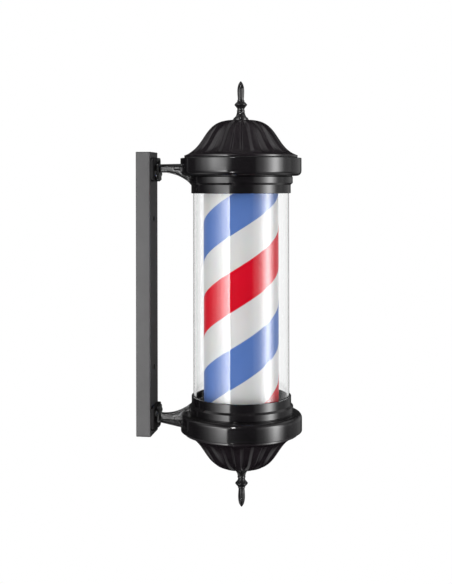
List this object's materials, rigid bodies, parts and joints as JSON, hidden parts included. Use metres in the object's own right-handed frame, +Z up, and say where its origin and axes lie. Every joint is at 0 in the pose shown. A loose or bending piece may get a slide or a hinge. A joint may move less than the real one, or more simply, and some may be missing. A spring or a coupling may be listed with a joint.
{
  "type": "lighted revolving barber pole",
  "caption": "Wall-mounted barber pole: striped drum turning in a clear tube between fluted black domes with spear finials, held off a slim rail by cast arms.",
  "frame": {"origin": "centre of the wall rail's back face, on the wall", "axes": "+Z up along the pole and the rail; +Y into the wall, so the pole stands in front of it at -Y; +X to the right for someone looking at the wall"},
  "size_m": [0.202, 0.2745, 0.711],
  "materials": {
    "casting_black": "glossy black enamel on cast metal",
    "dome_black": "glossy black enamel on spun and pressed metal",
    "finial_black": "glossy black enamel",
    "arm_black": "semi-gloss black enamel on cast metal",
    "rail_grey": "satin dark grey powder coat",
    "cap_black": "fine matt black",
    "bolt_black": "black oxide, slightly worn on the dome",
    "clear_tube": "clear, polished",
    "seal_black": "soft matt black",
    "drum_white": "smooth translucent white",
    "stripe_red": "smooth coloured film",
    "stripe_blue": "smooth coloured film",
    "gear_white": "moulded nylon",
    "pinion_brass": "machined",
    "bush_bronze": "sintered, dull",
    "bright_steel": "bright zinc plate",
    "plate_steel": "plain zinc plate",
    "housing_alloy": "turned",
    "motor_metal": "satin case",
    "lamp_white": "opal",
    "lamp_metal": "drawn cap",
    "holder_white": "moulded white",
    "block_cream": "moulded",
    "lead_red": "soft sleeve",
    "lead_white": "soft sleeve",
    "gland_black": "moulded"
  },
  "bodies": {
    "frame": {"wall_rail": "rail_grey", "rail_end_plugs": "cap_black", "upper_arm": "arm_black", "lower_arm": "arm_black", "upper_arm_bolts": "bolt_black", "lower_arm_bolts": "bolt_black", "upper_collar": "casting_black", "lower_collar": "casting_black", "upper_saddle_screws": "bright_steel", "lower_saddle_screws": "bright_steel", "clear_tube": "clear_tube", "upper_tube_gasket": "seal_black", "lower_tube_gasket": "seal_black", "upper_dome": "dome_black", "lower_dome": "dome_black", "upper_dome_seal": "seal_black", "lower_dome_seal": "seal_black", "upper_finial": "finial_black", "lower_finial": "finial_black", "upper_dome_stud": "bright_steel", "lower_dome_stud": "bright_steel", "pivot_bush": "bush_bronze", "bearing_housing": "housing_alloy", "housing_screws": "bright_steel", "bearing_plate": "plate_steel", "bearing_plate_screws": "bright_steel", "chassis_plate": "plate_steel", "chassis_screws": "bright_steel", "spindle": "housing_alloy", "spindle_screws": "bright_steel", "thrust_washer": "gear_white", "motor_case": "motor_metal", "motor_screws": "bright_steel", "lamp_holder": "holder_white", "lamp_holder_screws": "bright_steel", "lamp_base": "lamp_metal", "lamp_tube": "lamp_white", "lamp_tip": "lamp_metal", "terminal_block": "block_cream", "terminal_screws": "bright_steel", "motor_lead": "lead_red", "lamp_lead": "lead_white", "cable_gland": "gland_black", "gland_nut": "gland_black"},
    "drum": {"drum_tube": "drum_white", "red_stripe": "stripe_red", "blue_stripe": "stripe_blue", "drum_base": "drum_white", "drum_gear": "gear_white", "drum_gear_screws": "bright_steel", "drum_top_cap": "drum_white", "pivot_pin": "bright_steel"},
    "motor_rotor": {"motor_shaft": "bright_steel", "drive_pinion": "pinion_brass"}
  },
  "joints": [
    {"name": "drum_spin", "type": "hinge", "parent": "frame", "child": "drum", "pos_m": [0, -0.1735, 0], "axis": [0, 0, 1], "continuous": true},
    {"name": "motor_spin", "type": "hinge", "parent": "frame", "child": "motor_rotor", "pos_m": [0, -0.214, 0], "axis": [0, 0, 1], "continuous": true}
  ],
  "couplings": [
    {"joint": "motor_spin", "follows": "drum_spin", "ratio": -2.8571}
  ]
}
